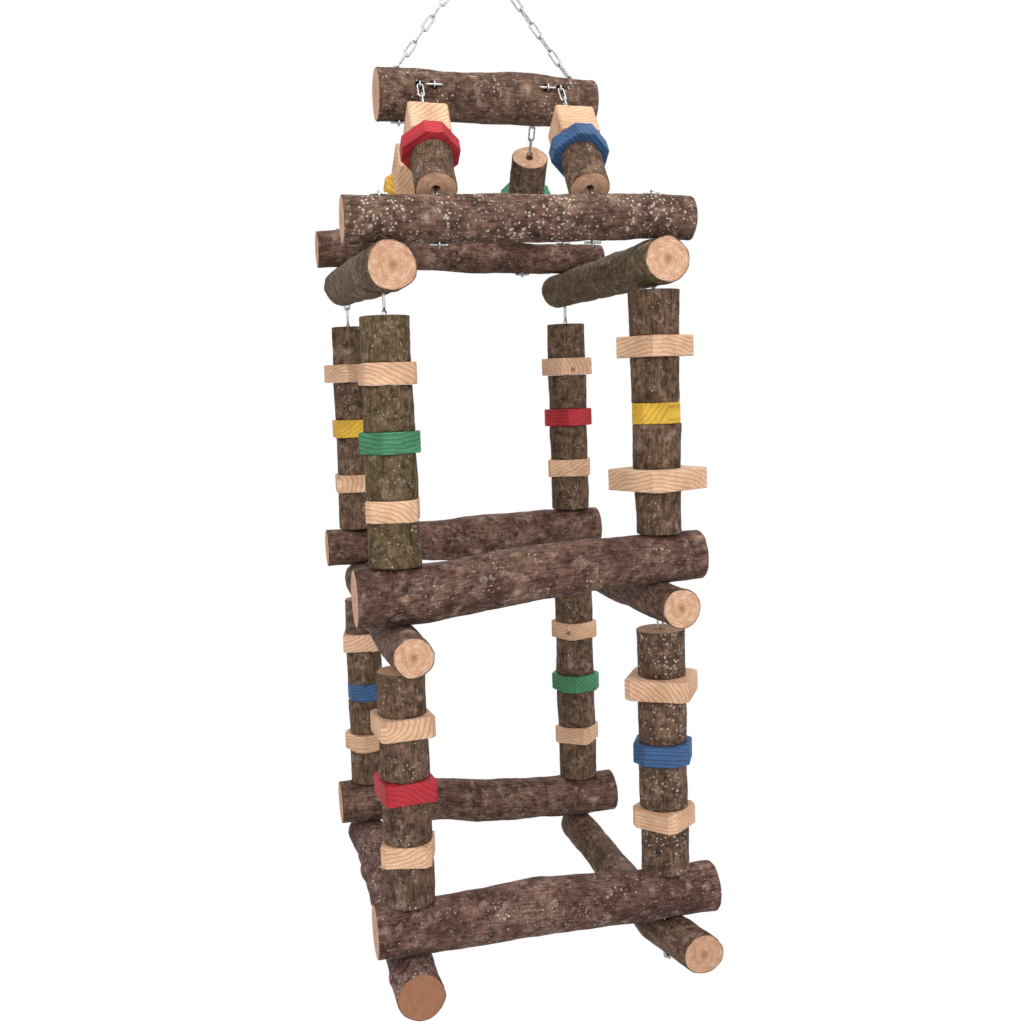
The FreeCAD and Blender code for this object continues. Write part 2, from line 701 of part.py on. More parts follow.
def keep_metal(pieces, label):
    made = doc.addObject("Part::Feature", label)
    made.Shape = Part.makeCompound(pieces)
    keep(made, label)


def add_ring_and_sling():
    """The hanging ring lies in the XZ plane with its middle at the origin, and holds the sling's two chains."""
    radius = size("ring_radius")
    angles = [2 * math.pi * i / RING_SEGMENTS for i in range(RING_SEGMENTS)]
    ring = wire_loop([Vector(radius * math.cos(a), 0, radius * math.sin(a)) for a in angles],
                     size("ring_wire"), BORE_SIDES)
    keep_metal([ring], "hanging_ring")
    sling = []
    header = []
    for side, sign in (("left", -1), ("right", 1)):
        x = size(f"sling_{side}_x")
        radius_there, axis = header_at(x)
        eye = Vector(x, 0, axis + radius_there + size("link_stand"))
        below = under_pin(lambda at: header_at(at)[0] - header_at(at)[1], x)
        header += through_bore(eye, UP, ACROSS, Vector(x, 0, -below), ACROSS)
        spread = size("ring_spread")
        hook = Vector(sign * spread, 0, -math.sqrt(radius ** 2 - spread ** 2))
        end = eye - UP * LINK_GAP
        along = (end - hook).normalize()
        start = hook - along * (size("ring_wire") / 2 + PLAY + WIRE / 2)
        sling += chain(start, end, DEEP, int(size("sling_links")))
    keep_metal(sling, "sling_chains")
    return header


def add_leg_chains(header):
    """Each stack hangs on its own chain: real links in view, and the hidden stretch inside the stack."""
    rail_chains = []
    for side in ("left", "right"):
        pieces = []
        for depth in ("front", "back"):
            leg = f"{depth}_{side}"
            out = outward(leg)
            head = leg_head(leg)
            foot = leg_foot(leg)
            height = head.z
            mouth = under_pin(lambda at: bark_reach(header_at(at)[0], height - header_at(at)[1]), head.x)
            header += through_bore(head, out, UP, Vector(head.x, 0, height) - out * mouth, ACROSS)
            start, end = leg_line(leg)
            along = (end - start).normalize()
            length = (end - start).Length
            stack = foot_gap(leg) + size("leg_log_length") + size("leg_dyed_thickness")
            stack += size("leg_cube_length") + 2 * size("seat_gap")
            seen = math.ceil((length - stack) / size("chain_pitch"))
            seen_end = start + along * (seen * size("chain_pitch") + LINK_GAP)
            pieces += chain(start, seen_end, ACROSS, seen)
            last = link_from(end, -along, (ACROSS - along * along.x).normalize())
            inner = end - along * (2 * LINK_HALF + WIRE / 2)
            begin = seen_end + along * (WIRE / 2)
            pieces += [last] + hidden_stretch(begin, along, (inner - begin).Length, ACROSS)
            rail = "top_" + depth
            below = under_pin(lambda at: rail_at(rail, at)[0] - rail_at(rail, at)[1], foot.x)
            rail_chains += through_bore(foot, UP, DEEP, Vector(foot.x, foot.y, -below), ACROSS)
        keep_metal(pieces, f"leg_{side}_chains")
    return rail_chains


def corner_points(deck, depth, side):
    """A frame's corner in plan, the top of its rail and the underside of its crossbar."""
    x = size("tower_x") + (-1 if side == "left" else 1) * size("span_x") / 2
    y = size("tower_y") + (-1 if depth == "front" else 1) * size("span_y") / 2
    lift = size("%s_deck" % deck) + size(f"{deck}_{side}_bar_{depth}_lift")
    top = lift + 2 * size(f"{deck}_{depth}_rail_{side}_radius") + size("seat_gap")
    under = lift - 2 * size(f"{deck}_{side}_bar_{depth}_radius")
    return Vector(x, y, top), Vector(x, y, under)


def add_frame_chains(deck, more):
    """The chain at each corner of a frame, through its rail and its crossbar.

    Under the top and middle frames a link hangs with its lower wire at the pivot of the posts below."""
    pieces = list(more)
    for depth in ("front", "back"):
        for side in ("left", "right"):
            top, under = corner_points(deck, depth, side)
            if deck == "bottom":
                parts, inner = pinned_end(under, -UP, DEEP)
                pieces += parts
                start = top - UP * size("seam")
                pieces += hidden_stretch(inner, UP, (start - inner).Length, ACROSS)
                continue
            pivot = Vector(top.x, top.y, size(f"{deck}_{depth}_pivot"))
            pieces.append(link_from(pivot, UP, ACROSS))
            low = pivot + UP * (2 * LINK_HALF + WIRE / 2)
            if deck == "top":
                parts, inner = pinned_end(top, UP, ACROSS)
                pieces += parts
            else:
                inner = top - UP * size("seam")
            pieces += hidden_stretch(low, UP, (inner - low).Length, ACROSS)
    keep_metal(pieces, f"{deck}_frame_chains")


def add_post_chains(tier, depth):
    """Two posts' chains: a link round the wire of the frame above, then the hidden stretch in the post."""
    above, below = ("top", "mid") if tier == "upper" else ("mid", "bottom")
    pieces = []
    for side in ("left", "right"):
        foot, _ = corner_points(below, depth, side)
        pivot = Vector(foot.x, foot.y, size(f"{above}_{depth}_pivot"))
        end = pivot + UP * LINK_GAP
        pieces.append(link_from(end, -UP, DEEP))
        low = end - UP * (2 * LINK_HALF + WIRE / 2)
        stop = foot + UP * size("seam")
        pieces += hidden_stretch(low, -UP, (low - stop).Length, ACROSS)
    keep_metal(pieces, f"{tier}_{depth}_chains")


def add_chains():
    header = add_ring_and_sling()
    rail_chains = add_leg_chains(header)
    keep_metal(header, "header_chains")
    for deck in ("top", "mid", "bottom"):
        add_frame_chains(deck, rail_chains if deck == "top" else [])
    for tier in ("upper", "lower"):
        for depth in ("front", "back"):
            add_post_chains(tier, depth)


for rail_name in RAILS:
    add_rail(rail_name)
for bar_name in CROSSBARS:
    add_crossbar(bar_name)
add_header()
for post_name in POSTS:
    add_post(post_name)
    add_post_blocks(post_name)
leg_logs = {leg: add_leg(leg) for leg in LEGS}
for side in ("left", "right"):
    pair = doc.addObject("Part::Compound", f"leg_{side}_logs")
    pair.Links = [leg_logs[f"front_{side}"], leg_logs[f"back_{side}"]]
    keep(pair, f"leg_{side}_logs")
add_chains()
doc.recompute()

# ---------------------------------------------------------------- export

os.makedirs("parts", exist_ok=True)
for thing in doc.Objects:
    if "Invalid" in thing.State or "Error" in thing.State:
        raise RuntimeError(f"{thing.Label} failed: {thing.State}")
for thing in subparts:
    if thing.Shape.isNull() or not thing.Shape.isValid():
        raise RuntimeError(f"{thing.Label} has no valid shape")
for thing in subparts:
    thing.Shape.exportStep(f"parts/{thing.Label}.step")
print(len(subparts), "nodes")
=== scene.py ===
import json
import math
import random

import bmesh
import bpy
import numpy as np
from mathutils import Matrix, Vector, noise


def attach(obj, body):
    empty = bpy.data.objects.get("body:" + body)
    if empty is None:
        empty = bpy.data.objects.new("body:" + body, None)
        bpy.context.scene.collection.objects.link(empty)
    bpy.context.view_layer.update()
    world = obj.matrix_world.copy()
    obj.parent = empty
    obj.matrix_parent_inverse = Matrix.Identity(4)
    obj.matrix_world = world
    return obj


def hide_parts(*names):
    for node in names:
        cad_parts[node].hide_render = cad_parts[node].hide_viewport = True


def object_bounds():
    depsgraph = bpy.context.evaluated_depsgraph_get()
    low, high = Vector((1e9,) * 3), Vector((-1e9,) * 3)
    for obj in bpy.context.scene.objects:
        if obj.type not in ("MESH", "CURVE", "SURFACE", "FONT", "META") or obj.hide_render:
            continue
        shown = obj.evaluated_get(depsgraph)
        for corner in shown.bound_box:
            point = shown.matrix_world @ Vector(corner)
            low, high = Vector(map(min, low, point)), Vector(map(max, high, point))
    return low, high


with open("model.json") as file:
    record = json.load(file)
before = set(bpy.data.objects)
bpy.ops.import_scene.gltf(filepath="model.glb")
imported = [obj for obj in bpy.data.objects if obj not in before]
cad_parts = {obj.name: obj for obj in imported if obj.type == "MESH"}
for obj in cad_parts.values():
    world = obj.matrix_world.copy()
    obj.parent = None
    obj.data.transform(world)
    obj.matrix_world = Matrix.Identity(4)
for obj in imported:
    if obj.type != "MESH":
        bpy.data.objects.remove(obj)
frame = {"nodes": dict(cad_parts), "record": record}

MM = 0.001
cad_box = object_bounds()

# ---------------------------------------------------------------- view, floor and light
# The camera stands where the photograph was taken, a little above the middle deck and to the left.
# The floor lies below the hanging tower. Floor and surroundings show white to the camera alone.

scene = bpy.context.scene
scene.view_settings.view_transform = "Standard"

FOCAL_PX = 1178             # lens length in pixels of a 1024 px wide picture
CAMERA_AT = Vector((-342.4, -1439.3, -520)) * MM
HEADING, TILT, ROLL = (math.radians(angle) for angle in (14, -6.4, -1.94))

forward = Vector((math.sin(HEADING) * math.cos(TILT), math.cos(HEADING) * math.cos(TILT), math.sin(TILT)))
level = Vector((math.cos(HEADING), -math.sin(HEADING), 0))
above = level.cross(forward)
right = math.cos(ROLL) * level + math.sin(ROLL) * above
top = -math.sin(ROLL) * level + math.cos(ROLL) * above
camera = bpy.data.objects.new("camera", bpy.data.cameras.new("camera"))
camera.data.sensor_width = 36
camera.data.lens = FOCAL_PX * 36 / 1024
camera.data.clip_end = 50
camera.matrix_world = Matrix.Translation(CAMERA_AT) @ Matrix((right, top, -forward)).transposed().to_4x4()
scene.collection.objects.link(camera)
scene.camera = camera


def paint(hex_code):
    """A colour written in sRGB hex, as the linear values that shaders take."""
    parts = [int(hex_code[i:i + 2], 16) / 255 for i in (1, 3, 5)]
    return tuple(c / 12.92 if c <= 0.04045 else ((c + 0.055) / 1.055) ** 2.4 for c in parts) + (1.0,)


def add(tree, kind, inputs=(), stops=(), **settings):
    """Adds a node with its settings; an input takes a value or the output that feeds it."""
    made = tree.nodes.new(kind)
    for name, value in settings.items():
        setattr(made, name, value)
    for name, value in dict(inputs).items():
        if isinstance(value, bpy.types.NodeSocket):
            tree.links.new(value, made.inputs[name])
        else:
            made.inputs[name].default_value = value
    if stops:
        ramp = made.color_ramp.elements
        while len(ramp) < len(stops):
            ramp.new(1)
        for element, (at, colour) in zip(ramp, stops):
            element.position = at
            element.color = paint(colour)
    return made


def white_to_camera(tree):
    """One for rays that reach the camera, straight or through metal and glass, and zero for all other light."""
    rays = add(tree, "ShaderNodeLightPath")
    either = add(tree, "ShaderNodeMath", {0: rays.outputs["Is Camera Ray"], 1: rays.outputs["Is Glossy Ray"]},
                 operation="MAXIMUM")
    seen = add(tree, "ShaderNodeMath", {0: either.outputs[0], 1: rays.outputs["Is Transmission Ray"]},
               operation="MAXIMUM")
    return seen.outputs[0]


world = bpy.data.worlds.new("studio")
scene.world = world
world.use_nodes = True
world.node_tree.nodes.clear()
soft = add(world.node_tree, "ShaderNodeBackground", {"Color": paint("#f4f6fa"), "Strength": 0.62})
plain = add(world.node_tree, "ShaderNodeBackground", {"Color": paint("#ffffff"), "Strength": 1.0})
mixed = add(world.node_tree, "ShaderNodeMixShader",
            {0: white_to_camera(world.node_tree), 1: soft.outputs[0], 2: plain.outputs[0]})
add(world.node_tree, "ShaderNodeOutputWorld", {"Surface": mixed.outputs[0]})

floor_white = bpy.data.materials.new("white painted floor")
floor_white.use_nodes = True
floor_white.node_tree.nodes.clear()
matt = add(floor_white.node_tree, "ShaderNodeBsdfDiffuse", {"Color": paint("#dddddd")})
shown = add(floor_white.node_tree, "ShaderNodeEmission", {"Color": paint("#ffffff"), "Strength": 1.0})
mixed = add(floor_white.node_tree, "ShaderNodeMixShader",
            {0: white_to_camera(floor_white.node_tree), 1: matt.outputs[0], 2: shown.outputs[0]})
add(floor_white.node_tree, "ShaderNodeOutputMaterial", {"Surface": mixed.outputs[0]})

FLOOR_BELOW = 0.4           # the tower hangs this far above the floor
bpy.ops.mesh.primitive_plane_add(size=12, location=(0, 0, cad_box[0][2] - FLOOR_BELOW))
floor = bpy.context.object
floor.name = "floor"
floor.data.materials.append(floor_white)

# name, place in metres, size in metres, power in watts
LAMPS = [
    ("front_left_lamp", (-1.6, -2.2, 0.5), 1.6, 46),
    ("front_right_lamp", (1.7, -1.9, 0.1), 1.6, 26),
    ("overhead_lamp", (0.2, -0.4, 1.3), 1.2, 20),
    ("rear_lamp", (0.5, 1.9, 0.2), 1.4, 16),
]
for name, place, size, power in LAMPS:
    lamp = bpy.data.objects.new(name, bpy.data.lights.new(name, "AREA"))
    lamp.data.size = size
    lamp.data.energy = power
    lamp.location = place
    aim = Vector((0, 0, -0.6)) - Vector(place)
    lamp.rotation_euler = aim.to_track_quat("-Z", "Y").to_euler()
    scene.collection.objects.link(lamp)

# ---------------------------------------------------------------- hanging ring
# A welded ring of round steel wire, zinc plated, that goes over the ceiling hook.
# It is bent from one rod and butt welded, so a slight bead shows where its ends meet.

carried_by = {node: body for body, nodes in frame["record"]["behaviour"]["bodies"].items() for node in nodes}


def hand_over(piece, *nodes):
    """The piece takes the place and the body of its solids."""
    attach(piece, carried_by[nodes[0]])
    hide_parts(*nodes)
    return piece


def new_material(name):
    """An empty material with one Principled surface, and the node tree to build on."""
    made = bpy.data.materials.new(name)
    made.use_nodes = True
    made.node_tree.nodes.clear()
    surface = add(made.node_tree, "ShaderNodeBsdfPrincipled")
    add(made.node_tree, "ShaderNodeOutputMaterial", {"Surface": surface.outputs[0]})
    return made, made.node_tree, surface


def wire(tree, surface, **sockets):
    """Feeds the surface's sockets, named with underscores for spaces."""
    for name, value in sockets.items():
        socket = surface.inputs[name.replace("_", " ")]
        if isinstance(value, bpy.types.NodeSocket):
            tree.links.new(value, socket)
        else:
            socket.default_value = value


# Zinc plated mild steel wire: a grey, slightly clouded metal that neither mirrors nor looks painted.
zinc, tree, surface = new_material("zinc plated steel wire")
place = add(tree, "ShaderNodeTexCoord")
cloud = add(tree, "ShaderNodeTexNoise", {"Vector": place.outputs["Object"], "Scale": 400, "Detail": 3})
shade = add(tree, "ShaderNodeValToRGB", {"Fac": cloud.outputs["Fac"]},
            [(0.3, "#8f8f8c"), (0.7, "#c9c9c6")])
rough = add(tree, "ShaderNodeMapRange", {"Value": cloud.outputs["Fac"], "To Min": 0.32, "To Max": 0.5})
wire(tree, surface, Base_Color=shade.outputs["Color"], Metallic=1.0, Roughness=rough.outputs[0])


def tube_loop(path, across, radius, sides=10):
    """Vertices and faces of a closed round tube along a flat loop whose plane has the given normal."""
    count = len(path)
    points = []
    for i, point in enumerate(path):
        run = (path[(i + 1) % count] - path[i - 1]).normalized()
        out = run.cross(across)
        for j in range(sides):
            angle = 2 * math.pi * j / sides
            points.append(point + radius * (math.cos(angle) * out + math.sin(angle) * across))
    faces = [
        (i * sides + j, (i + 1) % count * sides + j, (i + 1) % count * sides + (j + 1) % sides,
         i * sides + (j + 1) % sides)
        for i in range(count) for j in range(sides)
    ]
    return points, faces


def mesh_piece(name, shells, material):
    """One object from several shells of vertices and faces."""
    points, faces = [], []
    for shell_points, shell_faces in shells:
        base = len(points)
        points += shell_points
        faces += [tuple(base + i for i in face) for face in shell_faces]
    data = bpy.data.meshes.new(name)
    data.from_pydata([tuple(p) for p in points], [], faces)
    data.materials.append(material)
    data.shade_smooth()
    piece = bpy.data.objects.new(name, data)
    scene.collection.objects.link(piece)
    return piece


def islands(node):
    """The solids of a CAD node, each as an array of its corners in metres."""
    data = frame["nodes"][node].data
    keys = [tuple(round(c, 6) for c in v.co) for v in data.vertices]
    first = {}
    parent = {}
    for key in keys:
        first.setdefault(key, key)
        parent[key] = key

    def root(key):
        while parent[key] != key:
            parent[key] = parent[parent[key]]
            key = parent[key]
        return key

    for polygon in data.polygons:
        corners = [root(keys[i]) for i in polygon.vertices]
        for corner in corners[1:]:
            parent[root(corner)] = root(corners[0])
    groups = {}
    for key in first:
        groups.setdefault(root(key), []).append(key)
    return [np.array(group) for group in groups.values()]


ring_corners = islands("hanging_ring")[0]
reach = np.linalg.norm(ring_corners[:, [0, 2]], axis=1)
ring_radius = float(reach.max() + reach.min()) / 2
ring_wire = float(np.ptp(ring_corners[:, 1])) / 2
WELD_WIDTH = 0.06           # radians of the ring that its weld takes up
ring_path, ring_faces = tube_loop(
    [Vector((ring_radius * math.sin(a), 0, ring_radius * math.cos(a)))
     for a in (2 * math.pi * i / 96 for i in range(96))],
    Vector((0, 1, 0)), ring_wire, 16)
for i, point in enumerate(ring_path):
    angle = math.atan2(point.z, point.x)
    centre = Vector((math.cos(angle), 0, math.sin(angle))) * ring_radius
    bead = 1 + 0.16 * math.exp(-((angle - 0.6) / WELD_WIDTH) ** 2)
    ring_path[i] = centre + (point - centre) * bead
hand_over(mesh_piece("hanging_ring_wire", [(ring_path, ring_faces)], zinc), "hanging_ring")

# ---------------------------------------------------------------- chains and pins
# Welded long link chain of zinc plated steel wire, one length for each stack and corner, with plain
# steel pins through the end links where they come out of the wood.

LINK_STEPS = 8              # steps round each end of a link


def link_shell(middle, along, across, half_length, half_width, radius):
    """A welded link: two straight sides and two round ends."""
    straight = half_length - half_width
    path = []
    for sign in (1, -1):
        for i in range(LINK_STEPS + 1):
            angle = math.pi * i / LINK_STEPS
            path.append(middle + sign * (across * half_width * math.cos(angle)
                                         + along * (straight + half_width * math.sin(angle))))
    return tube_loop(path, along.cross(across), radius)


def pin_shell(low, high, radius, sides=12):
    """A plain round pin with rounded ends."""
    along = (high - low).normalized()
    side = along.orthogonal().normalized()
    other = along.cross(side)
    profile = [(0, 0.55), (0.15, 0.85), (0.45, 1.0)]
    rings = [(low + along * radius * d, radius * w) for d, w in profile]
    rings += [(high - along * radius * d, radius * w) for d, w in reversed(profile)]
    turns = [2 * math.pi * j / sides for j in range(sides)]
    points = [centre + r * (math.cos(turn) * side + math.sin(turn) * other)
              for centre, r in rings for turn in turns]
    faces = [(i * sides + j, i * sides + (j + 1) % sides,
              (i + 1) * sides + (j + 1) % sides, (i + 1) * sides + j)
             for i in range(len(rings) - 1) for j in range(sides)]
    faces += [tuple(reversed(range(sides))), tuple(range(len(points) - sides, len(points)))]
    return points, faces


def axes_of(corners):
    """Middle, the three axes and the half sizes of a solid, longest first."""
    middle = corners.mean(0)
    _, _, turned = np.linalg.svd(corners - middle)
    spans = [(corners - middle) @ axis for axis in turned]
    half = [float(np.ptp(span)) / 2 for span in spans]
    order = sorted(range(3), key=lambda k: -half[k])
    return Vector(middle), [Vector(turned[k]) for k in order], [half[k] for k in order]


LINK_CORNERS = 32           # corners of one link's solid
ROD_WIDTH = 3.5 * MM        # a hidden stretch is wider than this, and a pin narrower
spare_link = [corners for corners in islands("sling_chains") if len(corners) == LINK_CORNERS][0]
_, _, (link_reach, link_width, wire_radius) = axes_of(spare_link)
LINK_LENGTH, LINK_WIDTH = link_reach - wire_radius, link_width - wire_radius
CHAIN_PITCH = 19.27 * MM

for node in sorted(frame["nodes"]):
    if not node.endswith("chains"):
        continue
    shells = []
    for corners in islands(node):
        middle, axes, half = axes_of(corners)
        if len(corners) == LINK_CORNERS:
            shells.append(link_shell(middle, axes[0], axes[1], LINK_LENGTH, LINK_WIDTH, wire_radius))
        elif half[1] < ROD_WIDTH / 2 * 1.2:
            shells.append(pin_shell(middle - axes[0] * half[0], middle + axes[0] * half[0], half[1]))
        else:
            count = max(1, round(2 * half[0] / CHAIN_PITCH))
            for i in range(count):
                at = middle + axes[0] * ((i + 0.5) / count - 0.5) * 2 * half[0]
                reach = min(LINK_LENGTH, half[0] - wire_radius)
                side = axes[0].orthogonal()
                if i % 2 == 0:
                    side = axes[0].cross(side)
                side = side.normalized()
                shells.append(link_shell(at, axes[0], side, reach, LINK_WIDTH, wire_radius))
    hand_over(mesh_piece(node.replace("chains", "links"), shells, zinc), node)

# ---------------------------------------------------------------- bark branches
# Rails, crossbars and the header are lengths of a natural branch with the bark on, sawn square at both
# ends and drilled through for the chain. The bark is thin, red brown to olive, with pale lichen.

# Bark on a dried branch: matt, fissured lengthwise about every 2 mm, clouded over 30 to 60 mm, paler
# where its outer skin has flaked off over 5 to 15 mm, with lichen in spots of 2 to 5 mm. The grain
# attribute holds millimetres along and across the branch.
bark, tree, surface = new_material("dried bark")
grain = add(tree, "ShaderNodeAttribute", attribute_name="grain").outputs["Vector"]
age = add(tree, "ShaderNodeAttribute", attribute_name="age")
weather = add(tree, "ShaderNodeSeparateXYZ", {0: age.outputs["Vector"]})     # olive, lichen, dark ends
lengthwise = add(tree, "ShaderNodeVectorMath", {0: grain, 1: (0.14, 1, 1)}, operation="MULTIPLY").outputs[0]
clouds = add(tree, "ShaderNodeTexNoise", {"Vector": grain, "Scale": 1 / 38, "Detail": 4, "Roughness": 0.65})
tint = add(tree, "ShaderNodeValToRGB", {"Fac": clouds.outputs["Fac"]},
           [(0.3, "#4f3231"), (0.45, "#6b4a43"), (0.58, "#86655a"), (0.72, "#7d6852")])
olive = add(tree, "ShaderNodeMix", {"Factor": weather.outputs[0], "A": tint.outputs["Color"],
                                    "B": paint("#6a5a38")}, data_type="RGBA")
fibres = add(tree, "ShaderNodeTexNoise",
             {"Vector": lengthwise, "Scale": 1 / 2.4, "Detail": 5, "Roughness": 0.65})
dark = add(tree, "ShaderNodeValToRGB", {"Fac": fibres.outputs["Fac"]}, [(0.32, "#6f6663"), (0.6, "#ffffff")])
base = add(tree, "ShaderNodeMix", {"Factor": 0.85, "A": olive.outputs["Result"], "B": dark.outputs["Color"]},
           data_type="RGBA", blend_type="MULTIPLY")
mottle = add(tree, "ShaderNodeTexNoise", {"Vector": grain, "Scale": 1 / 9, "Detail": 5, "Roughness": 0.7})
soot = add(tree, "ShaderNodeValToRGB", {"Fac": mottle.outputs["Fac"]}, [(0.36, "#6f6561"), (0.56, "#ffffff")])
worn = add(tree, "ShaderNodeMix", {"Factor": 0.8, "A": base.outputs["Result"], "B": soot.outputs["Color"]},
           data_type="RGBA", blend_type="MULTIPLY")
flaky = add(tree, "ShaderNodeTexNoise", {"Vector": grain, "Scale": 1 / 15, "Detail": 6, "Roughness": 0.75})
peel = add(tree, "ShaderNodeMapRange", {"Value": flaky.outputs["Fac"], "From Min": 0.54, "From Max": 0.66,
                                        "To Max": 0.5})
pale = add(tree, "ShaderNodeMix", {"Factor": peel.outputs[0], "A": worn.outputs["Result"],
                                   "B": paint("#a78e80")}, data_type="RGBA")
spots = add(tree, "ShaderNodeTexVoronoi", {"Vector": grain, "Scale": 1 / 5, "Randomness": 1.0})
ragged = add(tree, "ShaderNodeTexNoise", {"Vector": grain, "Scale": 1 / 1.8, "Detail": 4})
edge = add(tree, "ShaderNodeMath", {0: spots.outputs["Distance"], 1: ragged.outputs["Fac"]}, operation="ADD")
patches = add(tree, "ShaderNodeTexNoise", {"Vector": grain, "Scale": 1 / 26, "Detail": 2})
spread = add(tree, "ShaderNodeMath", {0: patches.outputs["Fac"], 1: weather.outputs[1]}, operation="ADD")
limit = add(tree, "ShaderNodeMapRange", {"Value": spread.outputs[0], "From Min": 0.45, "From Max": 1.1,
                                         "To Min": 0.46, "To Max": 0.93})
over = add(tree, "ShaderNodeMath", {0: limit.outputs[0], 1: edge.outputs[0]}, operation="SUBTRACT")
crust = add(tree, "ShaderNodeMapRange", {"Value": over.outputs[0], "From Min": -0.02, "From Max": 0.22,
                                         "To Max": 0.75})
lichen = add(tree, "ShaderNodeMix", {"Factor": crust.outputs[0], "A": pale.outputs["Result"],
                                     "B": paint("#d3c4b3")}, data_type="RGBA")
scar = add(tree, "ShaderNodeAttribute", attribute_name="scar")
healed = add(tree, "ShaderNodeMix", {"Factor": scar.outputs["Fac"], "A": lichen.outputs["Result"],
                                     "B": paint("#b5957c")}, data_type="RGBA")
lift = add(tree, "ShaderNodeMath", {0: fibres.outputs["Fac"], 1: mottle.outputs["Fac"]}, operation="ADD")
relief = add(tree, "ShaderNodeBump", {"Height": lift.outputs[0], "Distance": 0.0009, "Strength": 0.6})
wire(tree, surface, Base_Color=healed.outputs["Result"], Roughness=0.88, Normal=relief.outputs[0],
     Specular_IOR_Level=0.25)

# The sawn end of a branch: peach tan wood with rings about 2.5 mm apart round the pith, a darker
# pith, a thin dark line of bark, and fine marks of the saw.
end_grain, tree, surface = new_material("sawn branch end")
cut = add(tree, "ShaderNodeAttribute", attribute_name="end").outputs["Vector"]      # millimetres from the pith
rim = add(tree, "ShaderNodeSeparateXYZ", {0: cut})
flat = add(tree, "ShaderNodeVectorMath", {0: cut, 1: (1, 1, 0)}, operation="MULTIPLY").outputs[0]
wobble = add(tree, "ShaderNodeTexNoise", {"Vector": cut, "Scale": 1 / 14, "Detail": 3})
radius = add(tree, "ShaderNodeVectorMath", {0: flat}, operation="LENGTH")
bent = add(tree, "ShaderNodeMath", {0: wobble.outputs["Fac"], 1: 9.0, 2: radius.outputs["Value"]},
           operation="MULTIPLY_ADD")
turns = add(tree, "ShaderNodeMath", {0: bent.outputs[0], 1: 2 * math.pi / 2.6}, operation="MULTIPLY")
rings = add(tree, "ShaderNodeMath", {0: turns.outputs[0]}, operation="SINE")
bands = add(tree, "ShaderNodeMapRange", {"Value": rings.outputs[0], "From Min": -0.4,
                                         "To Min": 0.0, "To Max": 0.5})
patch = add(tree, "ShaderNodeTexNoise", {"Vector": cut, "Scale": 1 / 8, "Detail": 4})
wood = add(tree, "ShaderNodeValToRGB", {"Fac": patch.outputs["Fac"]},
           [(0.3, "#b4866b"), (0.5, "#cba183"), (0.7, "#dab89a")])
years = add(tree, "ShaderNodeSeparateXYZ",
            {0: add(tree, "ShaderNodeAttribute", attribute_name="age").outputs["Vector"]})
aged = add(tree, "ShaderNodeMix", {"Factor": years.outputs[2], "A": wood.outputs["Color"],
                                   "B": paint("#7d4b30")}, data_type="RGBA")
ringed = add(tree, "ShaderNodeMix", {"Factor": bands.outputs[0], "A": aged.outputs["Result"],
                                     "B": paint("#94654a")}, data_type="RGBA")
pith = add(tree, "ShaderNodeMapRange", {"Value": radius.outputs["Value"], "From Min": 1.5, "From Max": 7.0,
                                        "To Min": 0.75, "To Max": 0.0})
hearted = add(tree, "ShaderNodeMix", {"Factor": pith.outputs[0], "A": ringed.outputs["Result"],
                                      "B": paint("#8f5f3d")}, data_type="RGBA")
band = add(tree, "ShaderNodeMapRange", {"Value": rim.outputs[2], "From Min": 0.0, "From Max": 2.2,
                                        "To Min": 1.0, "To Max": 0.0})
barked = add(tree, "ShaderNodeMix", {"Factor": band.outputs[0], "A": hearted.outputs["Result"],
                                     "B": paint("#5d4237")}, data_type="RGBA")
stripes = add(tree, "ShaderNodeVectorMath", {0: cut, 1: (1, 0.05, 0)}, operation="MULTIPLY").outputs[0]
saw = add(tree, "ShaderNodeTexNoise", {"Vector": stripes, "Scale": 1 / 1.2, "Detail": 3})
relief = add(tree, "ShaderNodeBump", {"Height": saw.outputs["Fac"], "Distance": 0.0005, "Strength": 0.6})
wire(tree, surface, Base_Color=barked.outputs["Result"], Roughness=0.8, Normal=relief.outputs[0],
     Specular_IOR_Level=0.3)

BRANCH_FLATS = 16           # flats of a branch's solid, with one on top
AROUND = 72                 # steps round a branch's bark
STEP = 3.2                  # millimetres along it
CAP_SHARES = (0.1, 0.3, 0.55, 0.8)      # rings on a sawn end, from the pith to the bark
SLOW_WAVE, QUICK_WAVE, FINE_WAVE = 60, 20, 6            # lengths of the bark's waves, in millimetres
SLOW_HEIGHT, QUICK_HEIGHT, FINE_HEIGHT = 1.7, 0.7, 0.35     # and their heights
OVER_FLATS = 1.006          # a round branch that takes up as much room as its solid's flats
KNOT_EVERY = 80             # millimetres of branch for each small knot
KNOT_REACH = 9              # past this, squared and in knot widths, a knot leaves the bark alone


